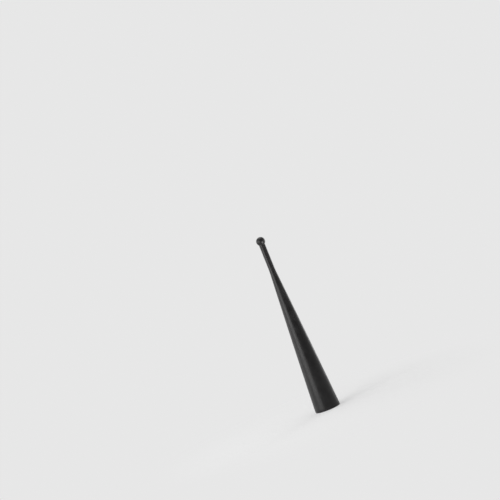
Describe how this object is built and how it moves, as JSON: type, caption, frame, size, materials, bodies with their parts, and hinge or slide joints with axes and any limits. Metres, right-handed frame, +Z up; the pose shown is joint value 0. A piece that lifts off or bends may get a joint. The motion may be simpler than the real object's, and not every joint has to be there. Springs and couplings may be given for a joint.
{
  "type": "car mast aerial",
  "caption": "Short moulded rubber car mast aerial: round base with a threaded brass ferrule, tapering flank, straight thin neck and ball tip over a wire-wound rod.",
  "frame": {"origin": "centre of the base, on the plane of the sealing lip that stands on the car's aerial mount", "axes": "+Z up along the mast, from the base to the ball tip; X and Y square to it"},
  "size_m": [0.0162, 0.0162, 0.115],
  "materials": {
    "rubber": "satin moulded black rubber",
    "ferrule_brass": "turned bright brass",
    "glass_fibre": "pultruded glass fibre, pale and smooth",
    "enamelled_wire": "enamelled copper wire, glossy",
    "solder": "soft solder, bright grey",
    "sleeve": "black heat-shrunk tube"
  },
  "bodies": {
    "root": {"mast_sheath": "rubber", "threaded_ferrule": "ferrule_brass", "core_rod": "glass_fibre", "wire_winding": "enamelled_wire", "solder_joint": "solder", "shrink_sleeve": "sleeve"}
  },
  "joints": []
}
